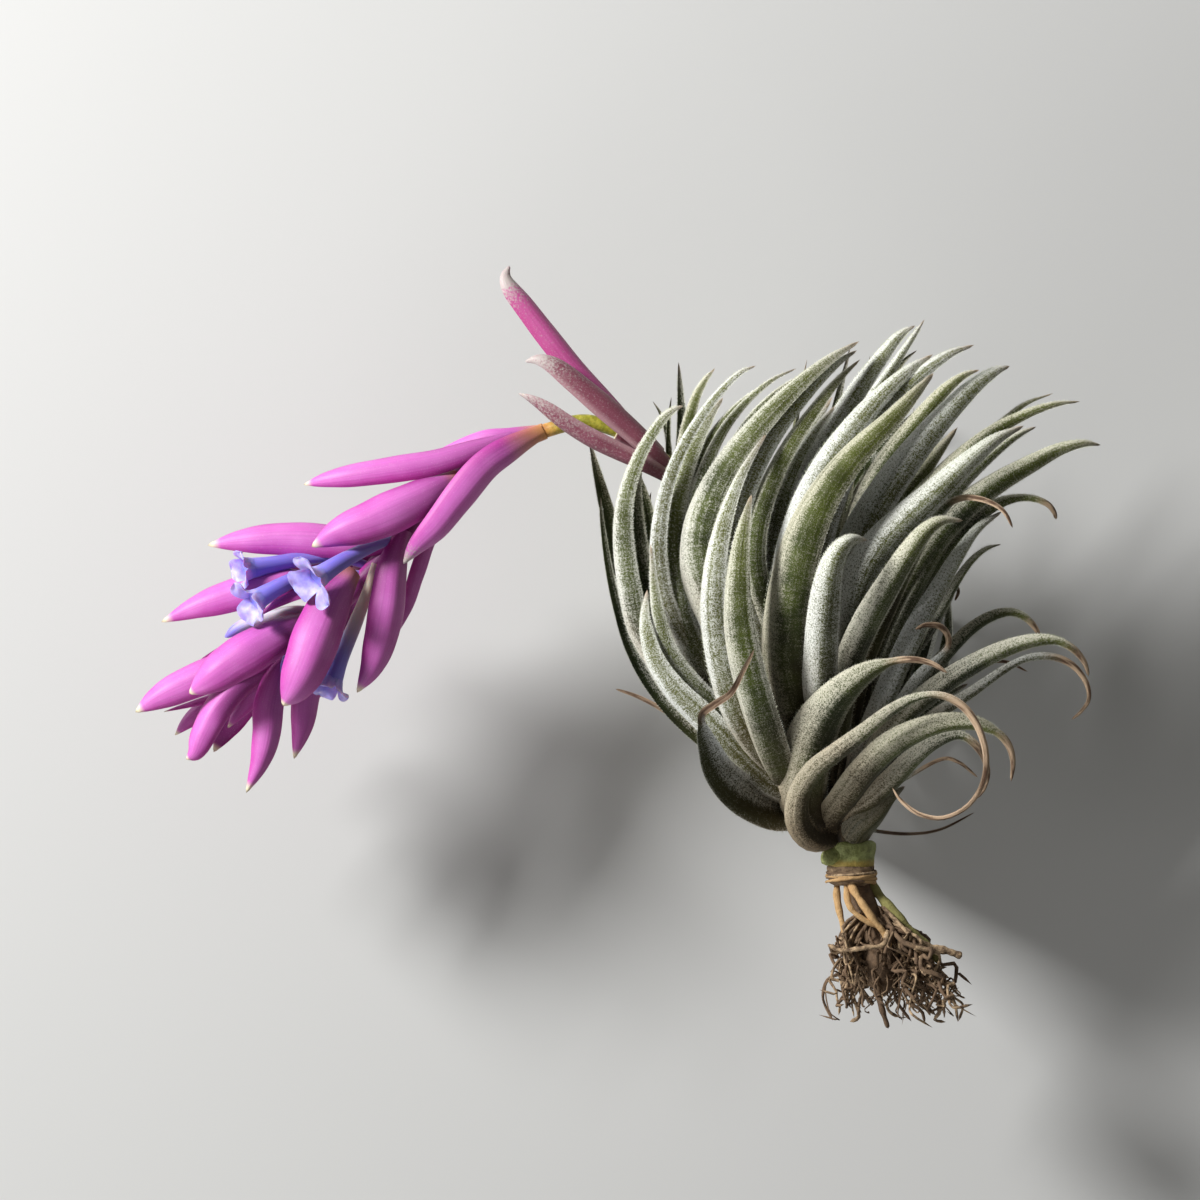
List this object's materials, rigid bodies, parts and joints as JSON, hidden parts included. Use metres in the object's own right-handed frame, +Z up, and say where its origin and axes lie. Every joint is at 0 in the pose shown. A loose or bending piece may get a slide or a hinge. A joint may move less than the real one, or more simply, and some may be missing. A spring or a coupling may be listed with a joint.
{
  "type": "tillandsia air plant in flower",
  "caption": "Small clump-forming air plant in flower, laid on its side: narrow channelled silver-green leaves, wiry roots and a drooping pink flower head.",
  "frame": {"origin": "centre of the bounding box in X and Y, on the surface that the plant rests on", "axes": "+X from the flower head to the leaf tips on the right, +Y from the roots to the leaf tips, +Z up from the surface"},
  "size_m": [0.1734, 0.1372, 0.0687],
  "materials": {
    "leaf": "matt, covered in fine silver scales",
    "stem": "matt",
    "root": "matt, dry and wiry",
    "scape": "smooth, slightly waxy",
    "scape_bract": "matt, frosted with silver scales",
    "floral_bract": "smooth, slightly waxy",
    "petal": "soft and satiny"
  },
  "bodies": {
    "root": {"leaves": "leaf", "stem": "stem", "roots": "root", "scape": "scape", "scape_bracts": "scape_bract", "flower_head": "floral_bract", "flower_front": "petal", "flower_left": "petal", "flower_behind": "petal", "flower_right": "petal", "bud_left": "petal", "bud_middle": "petal"}
  },
  "joints": []
}
